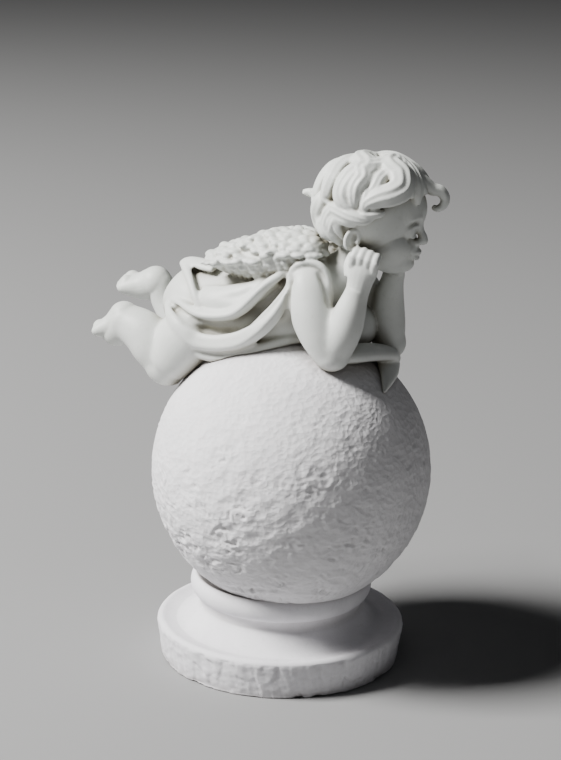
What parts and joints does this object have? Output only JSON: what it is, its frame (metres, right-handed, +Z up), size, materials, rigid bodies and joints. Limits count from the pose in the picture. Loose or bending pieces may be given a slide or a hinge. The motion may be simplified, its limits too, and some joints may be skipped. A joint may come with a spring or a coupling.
{
  "type": "angel figurine",
  "caption": "Cast white cherub lying on a rough ball on a round moulded plinth, elbows down and chin in its hands.",
  "frame": {"origin": "centre of the plinth's flat underside", "axes": "+Z up, +X the way the cherub faces, +Y to the cherub's left"},
  "size_m": [0.1059, 0.08, 0.1501],
  "materials": {
    "figure_bisque": "smooth cast, slightly greenish grey-white, low satin sheen",
    "ball_plaster": "rough chipped cast texture, matt white",
    "plinth_plaster": "matt white, smooth mouldings, rough tooled side"
  },
  "bodies": {
    "root": {"angel_figure": "figure_bisque", "textured_ball": "ball_plaster", "round_plinth": "plinth_plaster"}
  },
  "joints": []
}
